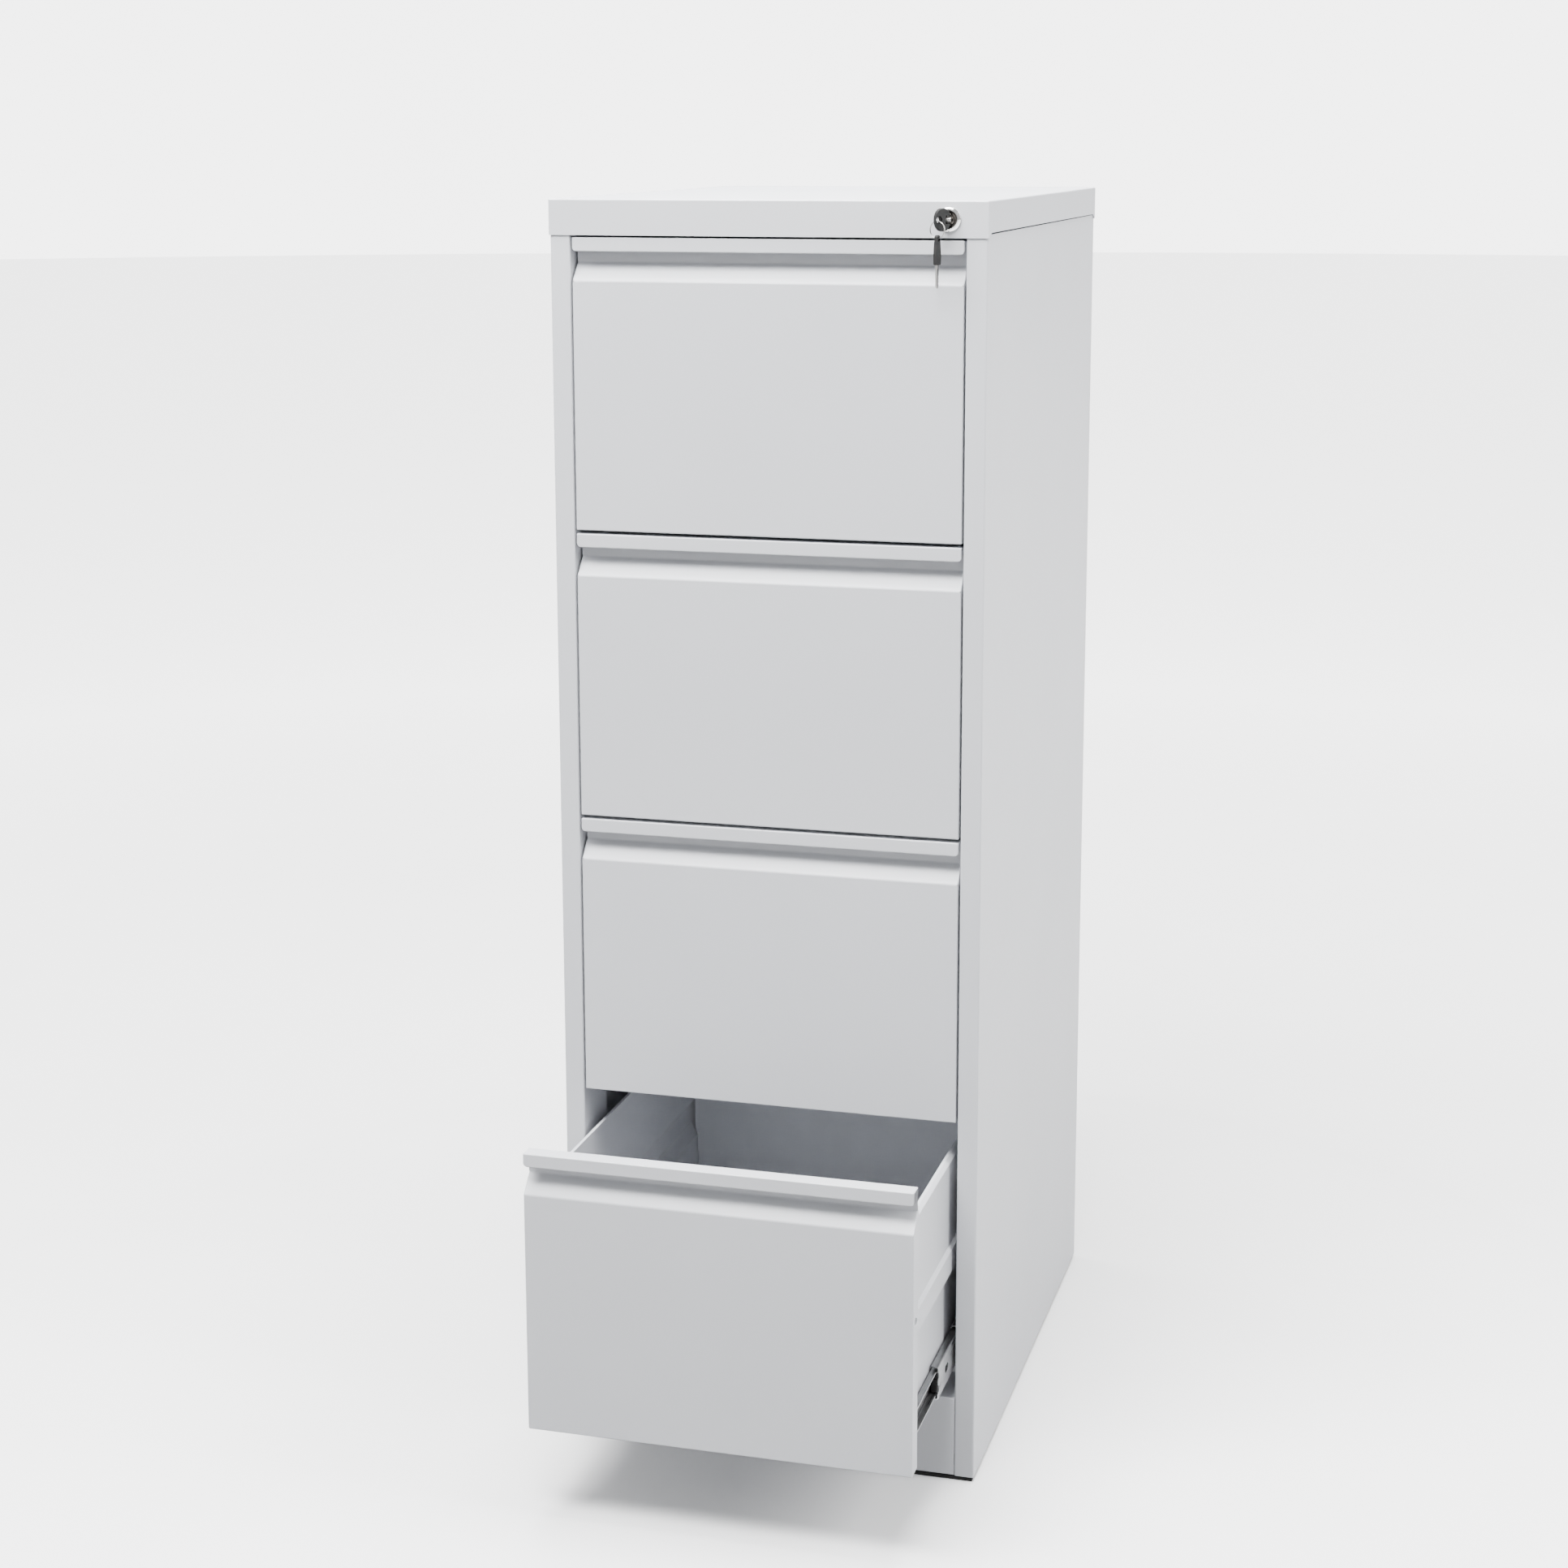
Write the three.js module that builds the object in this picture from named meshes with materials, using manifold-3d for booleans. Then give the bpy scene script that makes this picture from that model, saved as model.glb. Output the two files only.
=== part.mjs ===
// Four-drawer vertical filing cabinet in folded sheet steel, with its lock and keys.
// Millimetres. +Z is up and the front faces -Y. The origin is on the floor, under the
// centre of the bounding box, with the bottom drawer standing open.
import * as THREE from "three";
import Module from "manifold-3d";

const wasm = await Module();
wasm.setup();

// ---------------------------------------------------------------- driving dimensions
const HEIGHT = 1330;
const WIDTH = 448; // across the two side panels
const DEPTH = 620; // stile face to the rear flanges
const SHEET = 1; // steel thickness
const GAP = 0.3; // left between pieces that touch

// case
const STRIP_HEIGHT = 4.7;
const CASE_BOTTOM = STRIP_HEIGHT + GAP;
const STILE_WIDTH = 21;
const STILE_RETURN = 72;
const CAP_FRONT = 36; // depth of the cap's front and rear flanges
const CAP_SIDE = 31; // depth of its side flanges
const KICK_TOP = 92;
const UPRIGHT_FRONT = 480;
const UPRIGHT_BACK = 520;

// drawers: heights below a drawer's top edge are negative
const DRAWERS = 4;
const DRAWER_PITCH = 300;
const TOP_DRAWER_Z = 1292; // top edge of the top drawer's handle
const FRONT_HEIGHT = 296.5;
const FRONT_HALF = 201;
const FRONT_DEPTH = 22;
const LIP_DEPTH = 18;
const LIP_HEIGHT = 14;
const RECESS_BOTTOM = -25; // where the recess wall turns into the incline
const FACE_TOP = -43.5; // where the incline meets the flat face
const LIP_RADIUS = 5;
const DRAWER_FRONT_Y = FRONT_DEPTH + 0.4;
const DRAWER_BACK_Y = 544;
const WALL_TOP = -38;
const WALL_BOTTOM = -284;
const OPEN_BY = 189; // how far the bottom drawer stands open

// telescopic slides
const SLIDE_Z = -252; // slide centre below a drawer's top edge
const SLIDE_FRONT = 24;
const SLIDE_LENGTH = 500;
const MIDDLE_LENGTH = 480;
const SLIDE_SHEET = 1.2;

// lock and keys
const LOCK = { x: 186, z: 1312 };
const CORE_RADIUS = 5.7;
const BORE_RADIUS = 5.79;
const CAM_THROW = 8.485; // centre of the core to the cam's pin
const CAM_Y = 19;
const FOLD_Y = -9.5; // the key's fold pin
const FOLD_ANGLE = 40; // degrees the head is folded to the left
const RING_RADIUS = 8.15;
const RING_WIRE = 0.6;
const SPARE_TURN = 15; // degrees the spare key is turned from straight ahead

const OPENING_HALF = WIDTH / 2 - STILE_WIDTH;
const CAP_OUT = SHEET + GAP; // the cap stands this far outside the case
const ORIGIN_Y = (DEPTH + CAP_OUT - OPEN_BY) / 2;

// ---------------------------------------------------------------- materials
const material = (color, roughness, metalness) =>
  new THREE.MeshStandardMaterial({ color, roughness, metalness });
const powderCoat = () => material(0xd3d4d7, 0.5, 0.1);
const zinc = () => material(0x9a9d9f, 0.35, 0.9);
const chrome = () => material(0xb9b6b0, 0.15, 1);
const steel = () => material(0xa8a8a6, 0.3, 0.9);
const blackPlastic = () => material(0x1d1d1f, 0.45, 0);

// ---------------------------------------------------------------- geometry helpers
const axisX = new THREE.Vector3(1, 0, 0);
const axisY = new THREE.Vector3(0, 1, 0);
const axisZ = new THREE.Vector3(0, 0, 1);

function solidOf(geometry) {
  const positions = geometry.getAttribute("position");
  const index = geometry.getIndex();
  const keys = new Map();
  const vertices = [];
  const remap = [];
  for (let i = 0; i < positions.count; i += 1) {
    const point = [positions.getX(i), positions.getY(i), positions.getZ(i)];
    const key = point.map((value) => Math.round(value * 1e4)).join();
    if (!keys.has(key)) {
      keys.set(key, vertices.length / 3);
      vertices.push(...point);
    }
    remap.push(keys.get(key));
  }
  const triangles = [];
  const count = index ? index.count : positions.count;
  for (let i = 0; i < count; i += 3) {
    const corner = [0, 1, 2].map((n) => remap[index ? index.getX(i + n) : i + n]);
    const distinct = new Set(corner).size === 3;
    if (distinct) triangles.push(...corner);
  }
  const mesh = new wasm.Mesh({
    numProp: 3,
    vertProperties: new Float32Array(vertices),
    triVerts: new Uint32Array(triangles),
  });
  return new wasm.Manifold(mesh);
}

function geometryOf(solid) {
  const mesh = solid.getMesh();
  const geometry = new THREE.BufferGeometry();
  geometry.setAttribute("position", new THREE.BufferAttribute(mesh.vertProperties, 3));
  geometry.setIndex(new THREE.BufferAttribute(mesh.triVerts, 1));
  return geometry;
}

// A straight bar with the given outline: (y, z) along x, (x, z) along y, (x, y) along z.
function bar(outline, axis, from, to) {
  const shape = new THREE.Shape(outline.map(([u, v]) => new THREE.Vector2(u, v)));
  const geometry = new THREE.ExtrudeGeometry(shape, { depth: to - from, bevelEnabled: false });
  const frame = new THREE.Matrix4();
  if (axis === "x") {
    frame.makeBasis(axisY, axisZ, axisX).setPosition(from, 0, 0);
  } else if (axis === "y") {
    frame.makeBasis(axisX, axisZ, axisY.clone().negate()).setPosition(0, to, 0);
  } else {
    frame.makeBasis(axisX, axisY, axisZ).setPosition(0, 0, from);
  }
  return solidOf(geometry.applyMatrix4(frame));
}

function box([x0, x1], [y0, y1], [z0, z1]) {
  const geometry = new THREE.BoxGeometry(x1 - x0, y1 - y0, z1 - z0);
  geometry.translate((x0 + x1) / 2, (y0 + y1) / 2, (z0 + z1) / 2);
  return solidOf(geometry);
}

// A round bar along y, centred at (x, z).
function rod(radius, x, z, from, to, sides = 32) {
  const geometry = new THREE.CylinderGeometry(radius, radius, to - from, sides);
  geometry.translate(x, (from + to) / 2, z);
  return solidOf(geometry);
}

// The section of a bent sheet: the path is one face, and the metal lies to its right.
function folded(path, thickness) {
  const normals = path.slice(1).map(([u, v], i) => {
    const du = u - path[i][0];
    const dv = v - path[i][1];
    const length = Math.hypot(du, dv);
    return [dv / length, -du / length];
  });
  const other = path.map(([u, v], i) => {
    const a = normals[Math.max(i - 1, 0)];
    const b = normals[Math.min(i, normals.length - 1)];
    const sum = [a[0] + b[0], a[1] + b[1]];
    const scale = (2 * thickness) / (sum[0] ** 2 + sum[1] ** 2);
    return [u + sum[0] * scale, v + sum[1] * scale];
  });
  return [...path, ...other.reverse()];
}

const mirrored = (outline) => outline.map(([x, v]) => [-x, v]);
const raised = (outline, dz) => outline.map(([u, z]) => [u, z + dz]);

const group = new THREE.Group();
group.name = "filing_cabinet";

function piece(name, solid, finish) {
  const mesh = new THREE.Mesh(geometryOf(solid.translate([0, -ORIGIN_Y, 0])), finish);
  mesh.name = name;
  group.add(mesh);
}

// ---------------------------------------------------------------- case
// A side panel, its stile and the stile's inner return are one sheet.
function sidePanel(sign) {
  const half = WIDTH / 2;
  const path = [
    [half - 16, DEPTH],
    [half, DEPTH],
    [half, 0],
    [OPENING_HALF, 0],
    [OPENING_HALF, STILE_RETURN],
    [OPENING_HALF + 9, STILE_RETURN],
  ];
  const outline = folded(path, SHEET);
  const top = HEIGHT - SHEET - GAP;
  const panel = bar(sign > 0 ? outline : mirrored(outline), "z", CASE_BOTTOM, top);
  if (sign < 0) return panel;
  // the lock bar's head reaches the cam through a notch in the return
  return panel.subtract(box([OPENING_HALF - 1, OPENING_HALF + 2], [20, 37], [1294, HEIGHT]));
}

function topCap() {
  const half = WIDTH / 2 + CAP_OUT;
  const inside = WIDTH / 2 + GAP;
  const shell = box([-half, half], [-CAP_OUT, DEPTH + CAP_OUT], [HEIGHT - CAP_FRONT, HEIGHT]);
  const hollow = box([-inside, inside], [-GAP, DEPTH + GAP], [0, HEIGHT - SHEET]);
  // the side flanges are shallower, and run down to the deeper ones at a slant
  const slant = 9;
  const sideCut = [
    [3, HEIGHT - CAP_FRONT - 1],
    [3 + slant, HEIGHT - CAP_SIDE],
    [DEPTH - 3 - slant, HEIGHT - CAP_SIDE],
    [DEPTH - 3, HEIGHT - CAP_FRONT - 1],
  ];
  return shell
    .subtract(hollow)
    .subtract(bar(sideCut, "x", -half - 1, half + 1))
    .subtract(rod(10, LOCK.x, LOCK.z, -5, 5));
}

function backPanel() {
  const half = WIDTH / 2 - SHEET - 0.5;
  const y = DEPTH - SHEET - GAP;
  const path = [
    [-half, y - 14],
    [-half, y],
    [half, y],
    [half, y - 14],
  ];
  return bar(folded(path, SHEET), "z", CASE_BOTTOM, HEIGHT - SHEET - GAP);
}

// A channel across the case, open away from the outside face at y = face.
function crossChannel(face, depth, top) {
  const tail = face + depth;
  const path = [
    [tail, CASE_BOTTOM + 9],
    [tail, CASE_BOTTOM],
    [face, CASE_BOTTOM],
    [face, top],
    [tail, top],
    [tail, top - 9],
  ];
  const thickness = depth > 0 ? SHEET : -SHEET;
  return bar(folded(path, thickness), "x", GAP - OPENING_HALF, OPENING_HALF - GAP);
}

// The rear support for one side's slides, a channel standing against the side panel.
function rearUpright(sign) {
  const outer = WIDTH / 2 - SHEET - 0.5;
  const path = [
    [outer, UPRIGHT_FRONT],
    [OPENING_HALF, UPRIGHT_FRONT],
    [OPENING_HALF, UPRIGHT_BACK],
    [outer, UPRIGHT_BACK],
  ];
  const outline = folded(path, SHEET);
  return bar(sign > 0 ? outline : mirrored(outline), "z", CASE_BOTTOM + 1, HEIGHT - 12);
}

function floorStrip(y0, y1) {
  const outline = [
    [y0, 0],
    [y1, 0],
    [y1, STRIP_HEIGHT],
    [y0 + 1.5, STRIP_HEIGHT],
    [y0, STRIP_HEIGHT - 1.5],
  ];
  return bar(outline, "x", -WIDTH / 2 + 2, WIDTH / 2 - 2);
}

// ---------------------------------------------------------------- slides
// Sections in (x, z) for the right-hand side, with z from the slide's centre.
const slideSections = {
  outer: folded(
    [
      [193, 19.5],
      [193, 22.5],
      [OPENING_HALF - GAP, 22.5],
      [OPENING_HALF - GAP, -22.5],
      [193, -22.5],
      [193, -19.5],
    ],
    SLIDE_SHEET
  ),
  middle: folded(
    [
      [192.5, 18],
      [200.4, 18],
      [200.4, -18],
      [192.5, -18],
    ],
    SLIDE_SHEET
  ),
  inner: folded(
    [
      [198, -13],
      [190.3, -13],
      [190.3, 13],
      [198, 13],
    ],
    SLIDE_SHEET
  ),
};

function slideMember(section, sign, z, from, length) {
  const outline = raised(slideSections[section], z);
  return bar(sign > 0 ? outline : mirrored(outline), "y", from, from + length);
}

// ---------------------------------------------------------------- drawers
// The handle, recess and face are one folded sheet, closed by a plate at each end.
function drawerFront(topZ) {
  const facePath = [
    [0, -LIP_HEIGHT],
    [0, 0],
    [LIP_DEPTH, 0],
    [LIP_DEPTH, RECESS_BOTTOM],
    [SHEET, FACE_TOP],
    [SHEET, SHEET - FRONT_HEIGHT],
    [FRONT_DEPTH, SHEET - FRONT_HEIGHT],
    [FRONT_DEPTH, 11 - FRONT_HEIGHT],
  ];
  // the end plates reach half way into the sheet all round
  const half = SHEET / 2;
  const [lower, crease, recess] = folded(facePath, half).slice(-6, -3);
  const endPlate = [
    [half, -half],
    [half, half - LIP_HEIGHT],
    recess,
    crease,
    lower,
    [FRONT_DEPTH - half, half - FRONT_HEIGHT],
    [FRONT_DEPTH - half, RECESS_BOTTOM],
    [LIP_DEPTH - half, RECESS_BOTTOM + 8],
    [LIP_DEPTH - half, -half],
  ];
  let front = bar(raised(folded(facePath, SHEET), topZ), "x", -FRONT_HALF, FRONT_HALF);
  for (const sign of [-1, 1]) {
    const x = sign > 0 ? FRONT_HALF - SHEET : -FRONT_HALF;
    front = front.add(bar(raised(endPlate, topZ), "x", x, x + SHEET));
    // the lip's lower corners are rounded, seen from the front
    const corner = cornerCut(sign, topZ - LIP_HEIGHT);
    front = front.subtract(bar(corner, "y", -1, 6));
  }
  return front;
}

// What a rounded corner takes off, in (x, z): the square less a quarter circle.
function cornerCut(sign, z) {
  const centre = FRONT_HALF - LIP_RADIUS;
  const outline = [[FRONT_HALF + 1, z - 1]];
  outline.push([FRONT_HALF + 1, z + LIP_RADIUS]);
  for (let i = 0; i <= 5; i += 1) {
    const angle = (-i * Math.PI) / 10;
    const [dx, dz] = [LIP_RADIUS * Math.cos(angle), LIP_RADIUS * Math.sin(angle)];
    outline.push([centre + dx, z + LIP_RADIUS + dz]);
  }
  outline.push([centre, z - 1]);
  return sign > 0 ? outline : mirrored(outline);
}

// A drawer wall: a flanged top edge for hanging files, a stiffening rib, a step in to
// clear the slide, and a flange under the tray.
function drawerWall(sign, topZ) {
  const path = [
    [187.9, WALL_TOP],
    [190.9, WALL_TOP],
    [194.8, WALL_TOP - 3.9],
    [194.8, -131.4],
    [198, -135.4],
    [198, -159],
    [190, -175],
    [190, WALL_BOTTOM],
    [172, WALL_BOTTOM],
  ];
  const outline = raised(folded(path, SHEET), topZ);
  return bar(sign > 0 ? outline : mirrored(outline), "y", DRAWER_FRONT_Y, DRAWER_BACK_Y);
}

// The drawer's floor and back are one sheet bent up at the rear.
function drawerTray(topZ) {
  const floor = WALL_BOTTOM + SHEET + GAP;
  const narrow = 188.5;
  const wide = 193.3;
  const bottom = box([-narrow, narrow], [DRAWER_FRONT_Y, DRAWER_BACK_Y], [floor, floor + SHEET]);
  const right = [
    [narrow, floor],
    [narrow, -176],
    [wide, -163],
    [wide, WALL_TOP - 4.5],
  ];
  const outline = [...right, ...mirrored(right).reverse()];
  const back = bar(outline, "y", DRAWER_BACK_Y - SHEET, DRAWER_BACK_Y);
  return bottom.add(back).translate([0, 0, topZ]);
}

// ---------------------------------------------------------------- lock and keys
function lockHousing() {
  const barrel = rod(9.7, LOCK.x, LOCK.z, -3, 17);
  const rim = rod(11.7, LOCK.x, LOCK.z, -3.6, -CAP_OUT - GAP);
  const crown = rod(10.6, LOCK.x, LOCK.z, -4.3, -3.5);
  return barrel.add(rim).add(crown).subtract(rod(BORE_RADIUS, LOCK.x, LOCK.z, -9, 20));
}

function lockCore() {
  const { x, z } = LOCK;
  const plug = rod(CORE_RADIUS, x, z, -4.9, CAM_Y - GAP);
  const tail = box([x - 2, x + 2], [CAM_Y - 1, CAM_Y + 3.5], [z - 2, z + 2]);
  const keyway = box([x - 1.2, x + 1.2], [-6, 16.6], [z - 3.8, z + 3.8]);
  return plug.add(tail).subtract(keyway);
}

// The cam's pin starts low on the left and carries the lock bar up as the key turns.
const camPin = {
  x: LOCK.x - CAM_THROW * Math.SQRT1_2,
  z: LOCK.z - CAM_THROW * Math.SQRT1_2,
};

function lockCam() {
  const { x, z } = LOCK;
  const arm = [
    [x - 3, z + 3],
    [camPin.x - 2.4, camPin.z + 2.4],
    [camPin.x + 2.4, camPin.z - 2.4],
    [x + 3, z - 3],
  ];
  const plate = rod(5, x, z, CAM_Y, CAM_Y + 2, 24)
    .add(bar(arm, "y", CAM_Y, CAM_Y + 2))
    .add(rod(3.4, camPin.x, camPin.z, CAM_Y, CAM_Y + 2, 20))
    .add(rod(2, camPin.x, camPin.z, CAM_Y + 1, CAM_Y + 7, 16));
  return plate.subtract(box([x - 2.3, x + 2.3], [CAM_Y - 1, CAM_Y + 3], [z - 2.3, z + 2.3]));
}

function lockBar() {
  const headY = [CAM_Y + 3.5, CAM_Y + 5.5];
  const strip = box([206, 208], [CAM_Y + 3.5, 34], [110, camPin.z + 6]);
  const head = box([172, 208], headY, [camPin.z - 6, camPin.z + 6]);
  const slotEnd = LOCK.x - CAM_THROW;
  const slot = box([slotEnd - 2.9, camPin.x + 2.9], [CAM_Y, 30], [camPin.z - 2.7, camPin.z + 2.7]);
  return strip.add(head).subtract(slot);
}

// Half of a ring hole that widens towards a face of the head, so that the ring can swing.
function flare(radius, at, sign) {
  const geometry = new THREE.CylinderGeometry(radius + 1.1, radius - 0.05, 2.6, 20);
  geometry.rotateX((sign * Math.PI) / 2);
  geometry.translate(at, 0, sign * 1.2);
  return solidOf(geometry);
}

// Keys are drawn flat: the head runs along +x from the fold pin at the origin, the blade
// along -x, the width is y and the thickness z.
function keyHead(start, length, width, holeAt, holeRadius) {
  const half = length / 2;
  const outline = [];
  for (let i = 0; i < 28; i += 1) {
    const angle = (2 * Math.PI * i) / 28;
    const bulge = Math.sign(Math.cos(angle)) * Math.abs(Math.cos(angle)) ** 0.8;
    outline.push([start + half + half * bulge, (width / 2) * Math.sin(angle)]);
  }
  const oval = bar(outline, "z", -2.2, 2.2);
  const hole = flare(holeRadius, holeAt, 1).add(flare(holeRadius, holeAt, -1));
  const notch = box([start - 1, 3.5], [-4, 4], [-3, 3]);
  const pin = rod(1, 0, 0, -4.6, 4.6, 16);
  return oval.subtract(hole).subtract(notch).add(pin);
}

function keyBlade(length) {
  const knuckle = rod(2.2, 0, 0, -3.5, 3.5, 20).subtract(rod(1.13, 0, 0, -5, 5, 16));
  const shank = [
    [-1.6, -3.4],
    [-1.6, 3.4],
    [-length + 2.5, 3.4],
    [-length, 0.6],
    [-length, -1.4],
  ];
  const cuts = 4;
  const pitch = (length - 12) / cuts;
  for (let i = 0; i < cuts; i += 1) {
    const x = 1.5 + i * pitch - length;
    shank.push([x, -1.6 - 0.3 * (i % 2)]);
    shank.push([x + pitch / 2, -3.2]);
  }
  shank.push([-8, -3.4]);
  const plate = bar(shank, "z", -0.9, 0.9);
  return knuckle.add(plate.subtract(rod(1.7, 0, 0, -5, 5, 16)));
}

function circle(radius, sides, u, v) {
  const points = [];
  for (let i = 0; i < sides; i += 1) {
    const angle = (2 * Math.PI * i) / sides;
    points.push([u + radius * Math.cos(angle), v + radius * Math.sin(angle)]);
  }
  return points;
}

// Sets a flat key piece in place: along and across are the directions of its x and y.
function placed(solid, along, across, origin) {
  const third = along.clone().cross(across);
  const matrix = new THREE.Matrix4().makeBasis(along, across, third).setPosition(origin);
  return solid.transform(matrix.toArray());
}

const radians = (degrees) => (degrees * Math.PI) / 180;
const heading = (degrees) =>
  new THREE.Vector3(-Math.sin(radians(degrees)), -Math.cos(radians(degrees)), 0);

function keysAndRing() {
  const pivot = new THREE.Vector3(LOCK.x, FOLD_Y, LOCK.z);
  const headAlong = heading(FOLD_ANGLE);
  const straight = heading(0);
  const holeAt = 12;
  const blade = keyBlade(25);
  piece("key_blade", placed(blade, straight, axisZ, pivot), steel());
  piece("key_head", placed(keyHead(-3, 20.5, 21, holeAt, 2.4), headAlong, axisZ, pivot), blackPlastic());

  // the ring hangs in the head's hole, square to the head, and the spare key hangs in it
  const ringTop = pivot.clone().addScaledVector(headAlong, holeAt);
  ringTop.z -= 1.3;
  const torus = new THREE.TorusGeometry(RING_RADIUS, RING_WIRE, 8, 32);
  const across = headAlong.clone().cross(axisZ).normalize();
  const frame = new THREE.Matrix4().makeBasis(across, axisZ, across.clone().cross(axisZ));
  frame.setPosition(ringTop.x, ringTop.y, ringTop.z - RING_RADIUS);
  piece("key_ring", solidOf(torus.applyMatrix4(frame)), steel());

  const spareHole = 21;
  const spareAcross = heading(SPARE_TURN);
  const sparePivot = ringTop.clone();
  sparePivot.z -= 2 * RING_RADIUS + 1.7 + spareHole;
  piece("spare_blade", placed(keyBlade(25), axisZ, spareAcross, sparePivot), steel());
  const spareHead = keyHead(-3, 29, 15, spareHole, 3);
  piece("spare_head", placed(spareHead, axisZ, spareAcross, sparePivot), blackPlastic());
}

// ---------------------------------------------------------------- assembly
const sides = [
  ["left", -1],
  ["right", 1],
];

for (const [side, sign] of sides) {
  piece(`side_${side}`, sidePanel(sign), powderCoat());
  piece(`upright_${side}`, rearUpright(sign), zinc());
}
piece("top_cap", topCap(), powderCoat());
piece("back_panel", backPanel(), powderCoat());
piece("kick_plate", crossChannel(GAP, 30, KICK_TOP), powderCoat());
piece("rear_channel", crossChannel(DEPTH - SHEET - 2 * GAP - 1.4, -30, 60), powderCoat());
piece("floor_strip_front", floorStrip(1.5, 22), blackPlastic());
piece("floor_strip_rear", floorStrip(596, 616), blackPlastic());

for (let n = 1; n <= DRAWERS; n += 1) {
  const topZ = TOP_DRAWER_Z - (n - 1) * DRAWER_PITCH;
  const slideZ = topZ + SLIDE_Z;
  const out = n === DRAWERS ? OPEN_BY : 0;
  const drawn = (solid) => solid.translate([0, -out, 0]);
  piece(`drawer_${n}_front`, drawn(drawerFront(topZ)), powderCoat());
  piece(`drawer_${n}_tray`, drawn(drawerTray(topZ)), powderCoat());
  for (const [side, sign] of sides) {
    piece(`drawer_${n}_wall_${side}`, drawn(drawerWall(sign, topZ)), powderCoat());
    const outer = slideMember("outer", sign, slideZ, SLIDE_FRONT, SLIDE_LENGTH);
    piece(`slide_${n}_outer_${side}`, outer, zinc());
    const middle = slideMember("middle", sign, slideZ, SLIDE_FRONT + 2 - out / 2, MIDDLE_LENGTH);
    piece(`slide_${n}_middle_${side}`, middle, zinc());
    const inner = slideMember("inner", sign, slideZ, DRAWER_FRONT_Y + 0.2, SLIDE_LENGTH);
    piece(`slide_${n}_inner_${side}`, drawn(inner), zinc());
  }
}

piece("lock_housing", lockHousing(), chrome());
piece("lock_core", lockCore(), chrome());
piece("lock_cam", lockCam(), zinc());
piece("lock_bar", lockBar(), zinc());
keysAndRing();

export default group;
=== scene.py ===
"""Looks of the four-drawer filing cabinet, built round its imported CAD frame.

Sections are written in millimetres in the cabinet's own directions: x to the right,
y back from the stiles' front face, z up from the floor. solid() turns them into metres
in the row frame.
"""

import math

import bmesh
import bpy
from mathutils import Matrix, Vector


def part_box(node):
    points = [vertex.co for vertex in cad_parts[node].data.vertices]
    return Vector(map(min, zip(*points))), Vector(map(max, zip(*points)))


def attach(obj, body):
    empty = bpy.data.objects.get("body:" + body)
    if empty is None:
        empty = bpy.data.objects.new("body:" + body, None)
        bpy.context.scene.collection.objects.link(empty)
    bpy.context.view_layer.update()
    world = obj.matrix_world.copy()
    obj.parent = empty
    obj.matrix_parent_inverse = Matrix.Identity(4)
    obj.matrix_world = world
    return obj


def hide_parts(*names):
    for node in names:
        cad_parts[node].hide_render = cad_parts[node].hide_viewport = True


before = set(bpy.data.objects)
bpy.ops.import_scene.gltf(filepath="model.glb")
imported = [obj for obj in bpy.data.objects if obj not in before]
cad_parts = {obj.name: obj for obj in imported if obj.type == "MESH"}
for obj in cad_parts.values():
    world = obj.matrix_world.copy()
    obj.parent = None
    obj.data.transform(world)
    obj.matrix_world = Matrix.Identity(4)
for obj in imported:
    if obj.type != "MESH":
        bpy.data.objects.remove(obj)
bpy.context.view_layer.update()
MM = 0.001
FACE_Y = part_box("side_left")[0].y
SIDES = (("left", -1), ("right", 1))
UP = Vector((0, 0, 1))

# ------------------------------------------------------------------ sizes, mm
SHEET, BEND = 1.0, 0.9  # sheet thickness and inner radius of its bends
SLIDE_SHEET, SLIDE_BEND = 1.2, 0.7
HEM = 9.0  # width of the narrow folds that end a sheet
EXTRA = 2.0  # how far a cutting body sticks out past what it cuts

# case
REAR_FLANGE, STILE_RETURN = 16.0, 72.0
CAP_SIDE_Z = 1299.0  # lower edge of the cap's side flanges
CAP_BEND = 1.7
KICK_SHELF = 34.0  # how far the kick plate's top runs back past its foot

# drawers: heights below a drawer's top edge are negative
LIP_HEIGHT, LIP_DEPTH, LIP_RADIUS = 14.0, 18.0, 5.0
RECESS_BOTTOM, FACE_TOP, FRONT_HEIGHT, FRONT_DEPTH = -25.0, -43.5, 296.5, 22.0
FRONT_BEND, FRONT_HEM = 1.3, 11.0
RELIEF_RADIUS = 0.6
FLOOR_HALF, BACK_HALF = 188.5, 191.4  # half widths of the tray's floor and back

# slides
TRACK_X = 191.8  # the inner slide member's web lies inside this, and the zinc inside it is painted dark as shade
CAGE_LENGTH, CAGE_SHEET = 150, 0.9
BALLS, BALL_PITCH, FIRST_BALL = 9, 16.5, 8

# lock and keys
LOCK_X, LOCK_Z, DARK_RADIUS = 186.0, 1312.0, 8.6  # the lock's axis and the radius of its painted dark reflection
KEY_FOLD_Y, KEY_FOLD_ANGLE = -9.5, 40.0
BLADE_LENGTH, BLADE_HALF, SPARE_BLADE_HALF = 25, 3.4, 2.2
KNUCKLE_HALF = 3.5
HEAD_HALF, SPARE_HEAD_HALF = 2.2, 1.9  # half thicknesses
HEAD_HOLE, SPARE_HOLE = 12.0, 21.0  # ring holes, measured from the fold pin
RING_ANGLE, RING_WIRE, RING_TURNS, RING_PITCH = 20.0, 0.42, 1.9, 0.9
CAD_RING_WIRE = 0.6
SPARE_TURN = 15.0


def box_mm(node):
    """A CAD node's corners in the cabinet's millimetres."""
    return [Vector((c.x / MM, (c.y - FACE_Y) / MM, c.z / MM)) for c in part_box(node)]


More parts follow.
